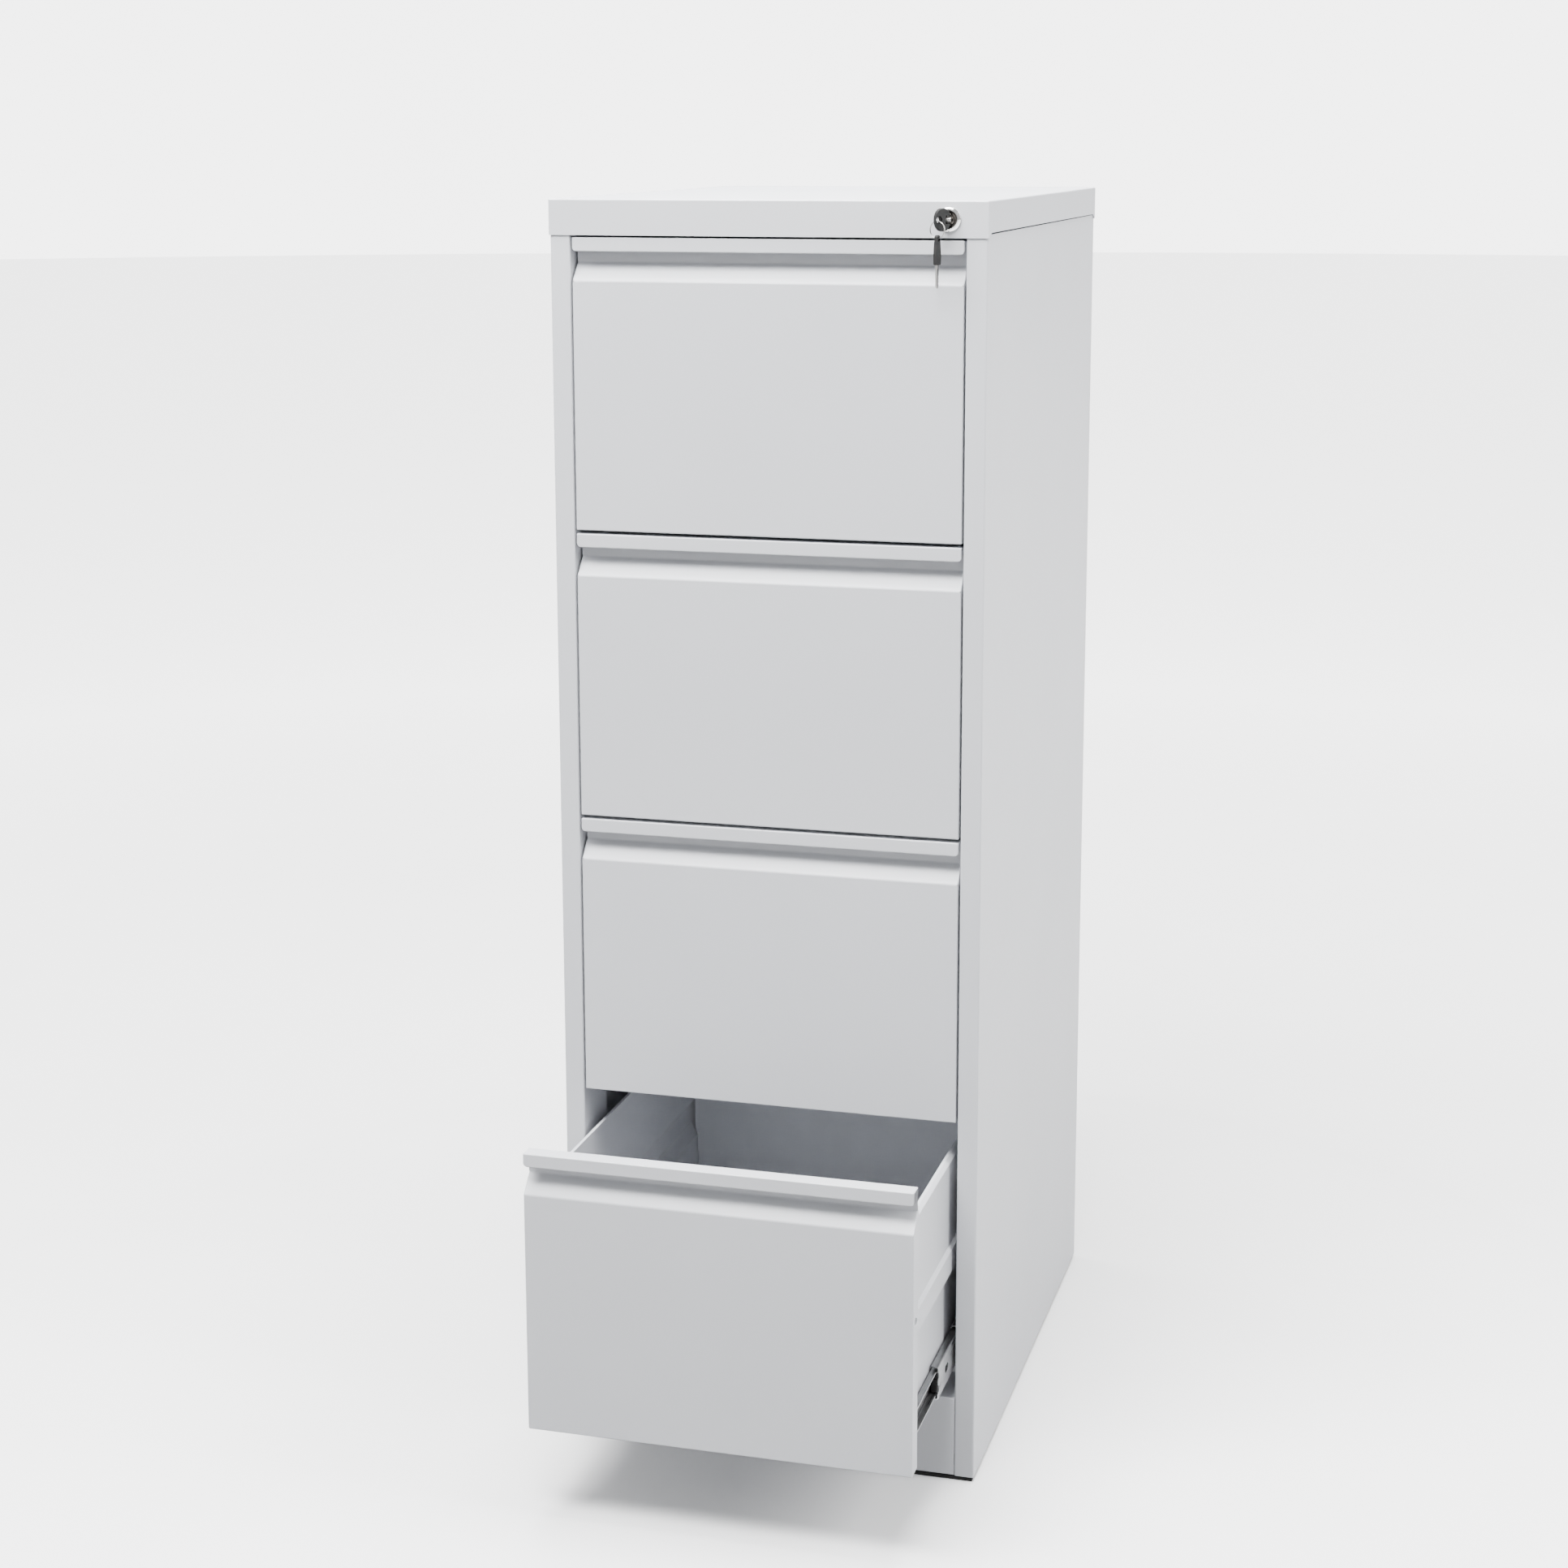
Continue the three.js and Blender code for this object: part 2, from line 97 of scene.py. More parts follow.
# ------------------------------------------------------------------ materials
def nodes_of(name):
    material = bpy.data.materials.new(name)
    material.use_nodes = True
    tree = material.node_tree
    shader = tree.nodes["Principled BSDF"]
    coords = tree.nodes.new("ShaderNodeTexCoord").outputs["Object"]
    return material, tree, shader, coords


def noise(tree, coords, scale, detail=2.0, stretch=None):
    if stretch:
        mapping = tree.nodes.new("ShaderNodeMapping")
        mapping.inputs["Scale"].default_value = stretch
        tree.links.new(coords, mapping.inputs["Vector"])
        coords = mapping.outputs["Vector"]
    texture = tree.nodes.new("ShaderNodeTexNoise")
    texture.inputs["Scale"].default_value = scale
    texture.inputs["Detail"].default_value = detail
    tree.links.new(coords, texture.inputs["Vector"])
    return texture.outputs["Fac"]


def ramp(tree, value, stops):
    """A colour ramp; stops are (position, colour or grey)."""
    node = tree.nodes.new("ShaderNodeValToRGB")
    elements = node.color_ramp.elements
    for i, (position, colour) in enumerate(stops):
        element = elements[i] if i < 2 else elements.new(position)
        element.position = position
        grey = isinstance(colour, float)
        element.color = (colour, colour, colour, 1.0) if grey else (*colour, 1.0)
    tree.links.new(value, node.inputs["Fac"])
    return node.outputs["Color"]


def bump(tree, shader, value, strength, distance):
    node = tree.nodes.new("ShaderNodeBump")
    node.inputs["Strength"].default_value = strength
    node.inputs["Distance"].default_value = distance
    tree.links.new(value, node.inputs["Height"])
    tree.links.new(node.outputs["Normal"], shader.inputs["Normal"])


def powder_coat():
    material, tree, shader, coords = nodes_of("powder_coat_grey")
    clouds = noise(tree, coords, 5.0, 4.0)
    colour = ramp(tree, clouds, [(0.3, (0.520, 0.530, 0.555)), (0.7, (0.540, 0.550, 0.575))])
    tree.links.new(colour, shader.inputs["Base Color"])
    fine = noise(tree, coords, 900.0, 3.0)
    tree.links.new(ramp(tree, fine, [(0.3, 0.36), (0.7, 0.5)]), shader.inputs["Roughness"])
    bump(tree, shader, noise(tree, coords, 620.0, 2.0), 0.10, 0.0003)
    shader.inputs["Specular IOR Level"].default_value = 0.45
    return material


def mixed(tree, share, first, second):
    """The first colour where share is 0, and the second where it is 1."""
    node = tree.nodes.new("ShaderNodeMix")
    node.data_type = "RGBA"
    tree.links.new(share, node.inputs["Factor"])
    tree.links.new(first, node.inputs["A"])
    tree.links.new(second, node.inputs["B"])
    return node.outputs["Result"]


def length_of(tree, vector):
    node = tree.nodes.new("ShaderNodeVectorMath")
    node.operation = "LENGTH"
    tree.links.new(vector, node.inputs[0])
    return node.outputs["Value"]


def math_node(tree, operation, value, number=None):
    node = tree.nodes.new("ShaderNodeMath")
    node.operation = operation
    tree.links.new(value, node.inputs[0])
    if number is not None:
        node.inputs[1].default_value = number
    return node.outputs["Value"]


def zinc():
    """Zinc plate, painted dark as shade in the track of the inner slide members."""
    material, tree, shader, coords = nodes_of("zinc_plate")
    streaks = noise(tree, coords, 260.0, 3.0, (1.0, 0.03, 1.0))
    patches = noise(tree, coords, 40.0, 3.0)
    clean = ramp(tree, patches, [(0.3, (0.25, 0.255, 0.26)), (0.7, (0.36, 0.365, 0.37))])
    # painted shade: the zinc in the inner members' track is coloured near black to stand in for
    # the shade there
    painted_shade = ramp(tree, patches, [(0.3, (0.030, 0.030, 0.031)), (0.7, (0.070, 0.070, 0.072))])
    split = tree.nodes.new("ShaderNodeSeparateXYZ")
    tree.links.new(coords, split.inputs[0])
    across = math_node(tree, "ABSOLUTE", split.outputs["X"])
    outside = math_node(tree, "GREATER_THAN", across, TRACK_X * MM)
    tree.links.new(mixed(tree, outside, painted_shade, clean), shader.inputs["Base Color"])
    tree.links.new(ramp(tree, streaks, [(0.3, 0.24), (0.7, 0.42)]), shader.inputs["Roughness"])
    shader.inputs["Metallic"].default_value = 1.0
    bump(tree, shader, streaks, 0.08, 0.0002)
    return material


def steel():
    material, tree, shader, coords = nodes_of("bright_steel")
    streaks = noise(tree, coords, 700.0, 3.0, (1.0, 1.0, 0.12))
    colour = ramp(tree, streaks, [(0.3, (0.17, 0.165, 0.16)), (0.7, (0.36, 0.355, 0.345))])
    tree.links.new(colour, shader.inputs["Base Color"])
    tree.links.new(ramp(tree, streaks, [(0.3, 0.24), (0.7, 0.42)]), shader.inputs["Roughness"])
    shader.inputs["Metallic"].default_value = 1.0
    bump(tree, shader, streaks, 0.06, 0.0001)
    return material


def chrome():
    """Chrome, bright on the lock's rim, with a painted dark reflection over the middle of its
    face.
    """
    material, tree, shader, coords = nodes_of("chrome_plate")
    smears = noise(tree, coords, 150.0, 4.0)
    bright = ramp(tree, smears, [(0.3, (0.60, 0.59, 0.57)), (0.7, (0.72, 0.71, 0.69))])
    # painted reflection: the middle of the lock's face is coloured near black to stand in for
    # the shade and dark surroundings that chrome would mirror there
    dark = ramp(tree, smears, [(0.35, (0.030, 0.027, 0.024)), (0.65, (0.11, 0.10, 0.09))])
    mapping = tree.nodes.new("ShaderNodeMapping")
    mapping.inputs["Location"].default_value = (-LOCK_X * MM, 0, -LOCK_Z * MM)
    mapping.inputs["Scale"].default_value = (1, 0, 1)
    tree.links.new(coords, mapping.inputs["Vector"])
    radius = length_of(tree, mapping.outputs["Vector"])
    # the painted dark reflection ends where this share is 0.5
    share = math_node(tree, "MULTIPLY", radius, 1 / (DARK_RADIUS * MM * 2))
    rim = ramp(tree, share, [(0.48, 0.0), (0.53, 1.0)])
    tree.links.new(mixed(tree, rim, dark, bright), shader.inputs["Base Color"])
    tree.links.new(ramp(tree, smears, [(0.35, 0.06), (0.65, 0.14)]), shader.inputs["Roughness"])
    shader.inputs["Metallic"].default_value = 1.0
    bump(tree, shader, noise(tree, coords, 1500.0, 2.0), 0.02, 0.0001)
    return material


def black_plastic():
    material, tree, shader, coords = nodes_of("black_plastic")
    mottle = noise(tree, coords, 90.0, 3.0)
    colour = ramp(tree, mottle, [(0.3, 0.012), (0.7, 0.022)])
    tree.links.new(colour, shader.inputs["Base Color"])
    fine = noise(tree, coords, 1400.0, 2.0)
    tree.links.new(ramp(tree, fine, [(0.3, 0.5), (0.7, 0.68)]), shader.inputs["Roughness"])
    shader.inputs["Specular IOR Level"].default_value = 0.12
    bump(tree, shader, fine, 0.15, 0.0002)
    return material


FINISH = {
    "powder_coat": powder_coat(),
    "zinc_plate": zinc(),
    "steel": steel(),
    "chrome": chrome(),
    "black_plastic": black_plastic(),
}


# ------------------------------------------------------------------ mesh helpers
NEARLY_STRAIGHT = 0.02  # radians; a corner this open is left as it is
SMOOTH_ANGLE = math.radians(32.0)  # edges folded by more than this stay sharp


def fillet(points, radii, closed=False, steps=4):
    """The line with each corner rounded to its radius; an open line keeps its ends."""
    out = []
    count = len(points)
    for i, point in enumerate(points):
        here = Vector(point)
        end = not closed and i in (0, count - 1)
        if end or radii[i] <= 0:
            out.append(here)
            continue
        back = (Vector(points[i - 1]) - here).normalized()
        ahead = (Vector(points[(i + 1) % count]) - here).normalized()
        inner = back.angle(ahead)
        if math.pi - inner < NEARLY_STRAIGHT:
            out.append(here)
            continue
        reach = radii[i] / math.tan(inner / 2)
        centre = here + (back + ahead).normalized() * (radii[i] / math.sin(inner / 2))
        first = here + back * reach - centre
        last = here + ahead * reach - centre
        start = math.atan2(first.y, first.x)
        sweep = (math.atan2(last.y, last.x) - start + math.pi) % (2 * math.pi) - math.pi
        for k in range(steps + 1):
            angle = start + sweep * k / steps
            out.append(centre + radii[i] * Vector((math.cos(angle), math.sin(angle))))
    return out


def folded(path, thickness=SHEET, bend=BEND, steps=4):
    """The section of a folded sheet: the metal lies to the right of the path."""
    points = [Vector(p) for p in path]
    last = len(points) - 1
    ways = [(points[i + 1] - points[i]).normalized() for i in range(last)]
    rights = [Vector((w.y, -w.x)) for w in ways]
    other, near, far = [], [0.0] * (last + 1), [0.0] * (last + 1)
    for i, point in enumerate(points):
        side = rights[max(i - 1, 0)] + rights[min(i, last - 1)]
        other.append(point + side * (2 * thickness / side.length_squared))
        if 0 < i < last:
            left_turn = ways[i - 1].cross(ways[i]) > 0
            near[i] = bend if left_turn else bend + thickness
            far[i] = bend + thickness if left_turn else bend
    return fillet(points, near, steps=steps) + fillet(other, far, steps=steps)[::-1]


PLACE = {
    "x": lambda u, v, w: (w, u, v),
    "y": lambda u, v, w: (u, w, v),
    "z": lambda u, v, w: (u, v, w),
}


def area_of(outline):
    pairs = zip(outline, outline[1:] + outline[:1])
    return sum(a[0] * b[1] - b[0] * a[1] for a, b in pairs) / 2


def shrunk(outline, inset):
    """The outline moved inwards, corner by corner."""
    sign = 1 if area_of(outline) > 0 else -1
    out = []
    for i, point in enumerate(outline):
        here = Vector(point)
        a = (here - Vector(outline[i - 1])).normalized()
        b = (Vector(outline[(i + 1) % len(outline)]) - here).normalized()
        side = Vector((-a.y - b.y, a.x + b.x)) * sign
        out.append(here + side * (2 * inset / max(side.length_squared, 1.0)))
    return out


def prism(bm, outline, axis, lo, hi, ease=0.15):
    """Adds a closed bar whose end rims are eased: (y, z) along x, (x, z) along y."""
    rings = [(0.0, lo), (0.0, hi)]
    if ease:
        part = 0.3 * ease
        rings = [(ease, lo), (part, lo + part), (0.0, lo + ease)]
        rings += [(0.0, hi - ease), (part, hi - part), (ease, hi)]
    loops = []
    for inset, w in rings:
        ring = shrunk(outline, inset) if inset else outline
        loops.append([bm.verts.new(PLACE[axis](p[0], p[1], w)) for p in ring])
    faces = [bm.faces.new(loops[0]), bm.faces.new(loops[-1])]
    for a, b in zip(loops, loops[1:]):
        for i in range(len(a)):
            faces.append(bm.faces.new((a[i - 1], a[i], b[i], b[i - 1])))
    bmesh.ops.recalc_face_normals(bm, faces=faces)


def lathe(bm, profile, x, z, steps=64):
    """Adds a body of revolution about the line along y through (x, z)."""
    loops = []
    for radius, y in profile:
        ring = []
        for k in range(steps):
            a = 2 * math.pi * k / steps
            ring.append(bm.verts.new((x + radius * math.cos(a), y, z + radius * math.sin(a))))
        loops.append(ring)
    faces = []
    for a, b in zip(loops, loops[1:] + loops[:1]):
        for i in range(steps):
            faces.append(bm.faces.new((a[i - 1], a[i], b[i], b[i - 1])))
    bmesh.ops.recalc_face_normals(bm, faces=faces)


def circle(radius, steps, u=0.0, v=0.0):
    angles = [2 * math.pi * k / steps for k in range(steps)]
    return [Vector((u + radius * math.cos(a), v + radius * math.sin(a))) for a in angles]


def block(bm, xs, ys, zs, ease=0.9):
    """Adds a box along y whose four long edges are rounded and whose ends are eased."""
    outline = [(xs[0], zs[0]), (xs[1], zs[0]), (xs[1], zs[1]), (xs[0], zs[1])]
    prism(bm, fillet(outline, [ease] * 4, True, 3), "y", ys[0], ys[1], ease * 0.7)


def temporary(bm):
    """The mesh as an object, for a boolean to use."""
    mesh = bpy.data.meshes.new("temporary")
    bm.to_mesh(mesh)
    bm.free()
    thing = bpy.data.objects.new("temporary", mesh)
    bpy.context.scene.collection.objects.link(thing)
    return thing


def carved(bm, cutters, operation="DIFFERENCE"):
    """The mesh less each cutter, or joined with it, by exact booleans."""
    base = temporary(bm)
    tools = [temporary(cutter) for cutter in cutters]
    for tool in tools:
        cut = base.modifiers.new("cut", "BOOLEAN")
        cut.operation = operation
        cut.solver = "EXACT"
        cut.object = tool
    graph = bpy.context.evaluated_depsgraph_get()
    result = bmesh.new()
    result.from_mesh(base.evaluated_get(graph).to_mesh())
    for thing in [base, *tools]:
        mesh = thing.data
        bpy.data.objects.remove(thing)
        bpy.data.meshes.remove(mesh)
    return result


def cutter(outline, axis, lo, hi):
    bm = bmesh.new()
    prism(bm, outline, axis, lo, hi, 0)
    return bm


def rectangle(u0, u1, v0, v1):
    return [(u0, v0), (u1, v0), (u1, v1), (u0, v1)]


def shade(thing):
    thing.data.polygons.foreach_set("use_smooth", [True] * len(thing.data.polygons))
    thing.data.set_sharp_from_angle(angle=SMOOTH_ANGLE)
    weighted = thing.modifiers.new("weighted_normals", "WEIGHTED_NORMAL")
    weighted.keep_sharp = True
    weighted.weight = 80


def solid(name, bm, body, slot, replaces=()):
    """Makes the piece: millimetres become metres in the row frame, and it rides on body."""
    for vertex in bm.verts:
        x, y, z = vertex.co
        vertex.co = (x * MM, y * MM + FACE_Y, z * MM)
    mesh = bpy.data.meshes.new(name)
    bm.to_mesh(mesh)
    bm.free()
    mesh.materials.append(FINISH[slot])
    thing = bpy.data.objects.new(name, mesh)
    bpy.context.scene.collection.objects.link(thing)
    shade(thing)
    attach(thing, body)
    if replaces:
        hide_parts(*replaces)


def mirrored(outline):
    """The outline as it is on the other side of the cabinet."""
    return [(-p[0], p[1]) for p in outline]


def raised(outline, dz):
    return [(p[0], p[1] + dz) for p in outline]


# ------------------------------------------------------------------ case
def side_panel(side, sign):
    lo, hi = box_mm(f"side_{side}")
    inner, outer = sorted((abs(lo.x), abs(hi.x)))
    path = [
        (outer - REAR_FLANGE, hi.y),
        (outer, hi.y),
        (outer, 0),
        (inner, 0),
        (inner, STILE_RETURN),
        (inner + HEM, STILE_RETURN),
    ]
    outline = folded(path)
    bm = bmesh.new()
    prism(bm, outline if sign > 0 else mirrored(outline), "z", lo.z, hi.z)
    # the web ends short of the cap's side flange, which leaves a dark slot
    slot = [
        (8, CAP_SIDE_Z - 2.4),
        (12, CAP_SIDE_Z - 1.7),
        (hi.y - 13, CAP_SIDE_Z - 1.1),
        (hi.y - 13, hi.z - 8),
        (8, hi.z - 8),
    ]
    cuts = [cutter(slot, "x", *sorted((sign * (outer - 3), sign * (outer + 3))))]
    if sign > 0:
        bar_notch = rectangle(inner - 1, inner + 2, 20, 37)
        cuts.append(cutter(bar_notch, "z", CAP_SIDE_Z - 5, CAP_SIDE_Z + 41))
    solid(f"case_side_{side}", carved(bm, cuts), "case", "powder_coat", [f"side_{side}"])


def top_cap():
    """A shallow lid; its side flanges are less deep than those in front and behind."""
    lo, hi = box_mm("top_cap")
    lock_lo, lock_hi = box_mm("lock_housing")
    lock = (lock_lo + lock_hi) / 2
    bm = bmesh.new()
    prism(bm, rectangle(lo.x, hi.x, lo.y, hi.y), "z", lo.z, hi.z, 0)
    folds = [e for e in bm.edges if min(v.co.z for v in e.verts) > lo.z + 1]
    folds += [e for e in bm.edges if abs(e.verts[0].co.z - e.verts[1].co.z) > 1]
    bmesh.ops.bevel(
        bm, geom=list(set(folds)), offset=CAP_BEND, segments=4, profile=0.5, affect="EDGES"
    )
    hollow = cutter(
        rectangle(lo.x + SHEET, hi.x - SHEET, lo.y + SHEET, hi.y - SHEET),
        "z", lo.z - 5, hi.z - SHEET,
    )
    slant = [
        (3, lo.z - 1),
        (12, CAP_SIDE_Z),
        (hi.y - 13, CAP_SIDE_Z),
        (hi.y - 4, lo.z - 1),
    ]
    flanges = cutter(slant, "x", lo.x - 1, hi.x + 1)
    lock_hole = cutter(circle(10, 40, lock.x, lock.z), "y", -5, 5)
    bm = carved(bm, [hollow, flanges, lock_hole])
    solid("case_cap", bm, "case", "powder_coat", ["top_cap"])


def kick_plate():
    lo, hi = box_mm("kick_plate")
    tail = hi.y + KICK_SHELF
    path = [
        (hi.y, lo.z + HEM),
        (hi.y, lo.z),
        (lo.y, lo.z),
        (lo.y, hi.z),
        (tail, hi.z),
        (tail, hi.z - HEM),
    ]
    bm = bmesh.new()
    prism(bm, folded(path), "x", lo.x, hi.x)
    solid("case_kick_plate", bm, "case", "powder_coat", ["kick_plate"])


# ------------------------------------------------------------------ drawers
def front_mesh():
    """A drawer front with its top edge at z = 0 and its face at y = 0."""
    half = box_mm("drawer_1_front")[1].x
    outline = [
        (0, 0),
        (0, -LIP_HEIGHT),
        (LIP_DEPTH - SHEET, RECESS_BOTTOM),
        (0, FACE_TOP),
        (0, -FRONT_HEIGHT),
        (FRONT_DEPTH, -FRONT_HEIGHT),
        (FRONT_DEPTH, RECESS_BOTTOM),
        (LIP_DEPTH, RECESS_BOTTOM + 8),
        (LIP_DEPTH, 0),
    ]
    bm = bmesh.new()
    prism(bm, outline, "x", -half, half, 0)
    bmesh.ops.bevel(
        bm, geom=list(bm.edges), offset=FRONT_BEND, segments=4, profile=0.5, affect="EDGES"
    )
    inside = half - SHEET
    lip_hollow = [
        (SHEET, -SHEET),
        (LIP_DEPTH - SHEET, -SHEET),
        (LIP_DEPTH - SHEET, RECESS_BOTTOM),
        (-SHEET, RECESS_BOTTOM),
        (-SHEET, -LIP_HEIGHT),
        (SHEET, -LIP_HEIGHT),
    ]
    back_hollow = [
        (SHEET, FACE_TOP - 0.4),
        (LIP_DEPTH, RECESS_BOTTOM - 0.4),
        (LIP_DEPTH, RECESS_BOTTOM + 15),
        (FRONT_DEPTH + EXTRA, RECESS_BOTTOM + 15),
        (FRONT_DEPTH + EXTRA, FRONT_HEM - FRONT_HEIGHT),
        (FRONT_DEPTH - SHEET, FRONT_HEM - FRONT_HEIGHT),
        (FRONT_DEPTH - SHEET, SHEET - FRONT_HEIGHT),
        (SHEET, SHEET - FRONT_HEIGHT),
    ]
    cuts = [
        cutter(lip_hollow, "x", -half - EXTRA, half + EXTRA),
        cutter(back_hollow, "x", -inside, inside),
    ]
    for _, sign in SIDES:
        corner = [(half + 1, -LIP_HEIGHT - 1), (half + 1, LIP_RADIUS - LIP_HEIGHT)]
        for k in range(9):
            angle = -math.pi / 2 * k / 8
            corner.append((
                half - LIP_RADIUS + LIP_RADIUS * math.cos(angle),
                LIP_RADIUS - LIP_HEIGHT + LIP_RADIUS * math.sin(angle),
            ))
        corner.append((half - LIP_RADIUS, -LIP_HEIGHT - 1))
        cuts.append(cutter(corner if sign > 0 else mirrored(corner), "y", -1, 6))
        relief = circle(RELIEF_RADIUS, 16, sign * (half - SHEET), FACE_TOP - 0.2)
        cuts.append(cutter(relief, "y", -2, 3))
        slot = fillet(rectangle(7.5, 15, -141, -133), [2.8] * 4, True)
        cuts.append(cutter(slot, "x", sign * half - EXTRA, sign * half + EXTRA))
    return carved(bm, cuts)


def drawer_front(n, source):
    lo, hi = box_mm(f"drawer_{n}_front")
    bm = source.copy()
    bmesh.ops.translate(bm, verts=bm.verts, vec=(0, lo.y, hi.z))
    solid(f"front_{n}", bm, f"drawer_{n}", "powder_coat", [f"drawer_{n}_front"])


def drawer_wall(n, side, sign, top):
    """Top flange, rib, step in to clear the slide, and a flange under the floor."""
    lo, hi = box_mm(f"drawer_{n}_wall_{side}")
    path = [
        (187.9, -38),
        (190.9, -38),
        (194.8, -41.9),
        (194.8, -131.4),
        (198, -135.4),
        (198, -159),
        (190, -175),
        (190, -284),
        (172, -284),
    ]
    outline = raised(folded(path), top)
    bm = bmesh.new()
    prism(bm, outline if sign > 0 else mirrored(outline), "y", lo.y, hi.y)
    name = f"wall_{n}_{side}"
    solid(name, bm, f"drawer_{n}", "powder_coat", [f"drawer_{n}_wall_{side}"])


def tray(n, top):
    """The floor, bent up into the back, which stops short of both walls."""
    lo, hi = box_mm(f"drawer_{n}_tray")
    floor = bmesh.new()
    path = [(lo.y + 0.5, lo.z + SHEET), (hi.y, lo.z + SHEET), (hi.y, top - 190)]
    prism(floor, folded(path), "x", -FLOOR_HALF, FLOOR_HALF)
    right = [
        (FLOOR_HALF, -195),
        (FLOOR_HALF, -176),
        (BACK_HALF, -163),
        (BACK_HALF, -43),
        (BACK_HALF - 2, -42.5),
    ]
    back = bmesh.new()
    outline = raised([*right, *mirrored(right)[::-1]], top)
    prism(back, outline, "y", hi.y - SHEET, hi.y)
    bm = carved(floor, [back], "UNION")
    solid(f"tray_{n}", bm, f"drawer_{n}", "powder_coat", [f"drawer_{n}_tray"])


# ------------------------------------------------------------------ slides
# paths of the right-hand members, about the slide's own height
SECTIONS = {
    "outer": [
        (193, 19.5), (193, 22.5), (202.7, 22.5), (202.7, -22.5), (193, -22.5), (193, -19.5),
    ],
    "middle": [(192.5, 18), (200.4, 18), (200.4, -18), (192.5, -18)],
    "inner": [(198, -13), (190.3, -13), (190.3, 13), (198, 13)],
}


def middle_cuts(lo, hi, sign):
    """What the web loses: slots along it, and two scallops that leave a tongue at the nose."""
    z = (lo.z + hi.z) / 2
    web = sorted((sign * 198.5, sign * 201.5))
    outlines = [circle(4.4, 24, lo.y - 0.4, z + 7.4), circle(4.6, 24, lo.y - 0.2, z - 6.6)]
    for start, length in ((32, 15), (150, 22), (290, 22), (430, 15)):
        ends = rectangle(lo.y + start, lo.y + start + length, z - 4.2, z + 4.2)
        outlines.append(fillet(ends, [4.1] * 4, True))
    return [cutter(outline, "x", *web) for outline in outlines]


def slide_member(n, member, side, sign):
    node = f"slide_{n}_{member}_{side}"
    lo, hi = box_mm(node)
    section = folded(SECTIONS[member], SLIDE_SHEET, SLIDE_BEND, 3)
    outline = raised(section, (lo.z + hi.z) / 2)
    bm = bmesh.new()
    prism(bm, outline if sign > 0 else mirrored(outline), "y", lo.y, hi.y)
    if member == "middle":
        bm = carved(bm, middle_cuts(lo, hi, sign))
    body = {"outer": "case", "middle": f"slide_{n}", "inner": f"drawer_{n}"}[member]
    solid(f"runner_{n}_{member}_{side}", bm, body, "zinc_plate", [node])


def ball_rows(n):
    """The balls in their cages: one set by the middle members' tails, one by their noses."""
    bm = bmesh.new()
    for side, sign in SIDES:
        lo, hi = box_mm(f"slide_{n}_middle_{side}")
        z = (lo.z + hi.z) / 2
        # start, then the balls' x, their rise from the centre and radius, and the cage's x
        sets = [
            (hi.y - 160, 197.2, 19.65, 1.6, 195.2, 199.0),
            (lo.y + 18, 195.2, 14.9, 1.85, 193.2, 197.4),
        ]
        for start, x, rise, radius, x0, x1 in sets:
            for up in (-1, 1):
                level = z + up * rise
                low, high = level - CAGE_SHEET / 2, level + CAGE_SHEET / 2
                cage = rectangle(sign * x0, sign * x1, low, high)
                prism(bm, cage, "y", start, start + CAGE_LENGTH)
                for k in range(BALLS):
                    along = start + FIRST_BALL + k * BALL_PITCH
                    spot = Matrix.Translation((sign * x, along, level))
                    bmesh.ops.create_icosphere(bm, subdivisions=2, radius=radius, matrix=spot)
    solid(f"runner_{n}_balls", bm, f"slide_{n}", "steel")


def slide_stops(n):
    """The black stop in the nose of each middle member, with the tongue over it."""
    bm = bmesh.new()
    for side, sign in SIDES:
        lo, hi = box_mm(f"slide_{n}_middle_{side}")
        z = (lo.z + hi.z) / 2
        xs = sorted((sign * 192.4, sign * 199.1))
        block(bm, xs, (lo.y + 0.3, lo.y + 13), (z - 10.8, z + 3))
        block(bm, xs, (lo.y + 2, lo.y + 26), (z + 4, z + 10.8))
    solid(f"runner_{n}_stops", bm, f"slide_{n}", "black_plastic")


# ------------------------------------------------------------------ lock and keys
def lock():
    """The housing with its bezel, drawn as one turned section of radius and y."""
    lo, hi = box_mm("lock_housing")
    x, z = (lo.x + hi.x) / 2, (lo.z + hi.z) / 2
    bezel = [
        (5.79, 17.0), (5.79, -3.9), (6.1, -4.25), (6.6, -4.3), (9.6, -4.3), (10.3, -4.15),
        (10.7, -3.85), (10.9, -3.6), (11.3, -3.45), (11.6, -3.15), (11.7, -2.7), (11.7, -1.9),
        (11.4, -1.6), (9.7, -1.6), (9.7, 16.7), (9.4, 17.0),
    ]
    bm = bmesh.new()
    lathe(bm, bezel, x, z)
    solid("lock_bezel", bm, "case", "chrome", ["lock_housing"])


def upgrade(node, slot, width):
    """A CAD node that stays: welded, its edges eased, and given its finish."""
    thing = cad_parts[node]
    weld = thing.modifiers.new("weld", "WELD")
    weld.merge_threshold = 1e-6
    ease = thing.modifiers.new("ease", "BEVEL")
    ease.width = width * MM
    ease.segments = 2
    ease.limit_method = "ANGLE"
    ease.angle_limit = math.radians(35)
    ease.use_clamp_overlap = True
    thing.data.materials.clear()
    thing.data.materials.append(FINISH[slot])
    shade(thing)


def oval(start, length, width):
    """A key head's outline: an oval along +x, a little fuller than an ellipse."""
    half = length / 2
    outline = []
    for k in range(64):
        angle = 2 * math.pi * k / 64
        bulge = math.copysign(abs(math.cos(angle)) ** 0.8, math.cos(angle))
        outline.append((start + half + half * bulge, width / 2 * math.sin(angle)))
    return outline


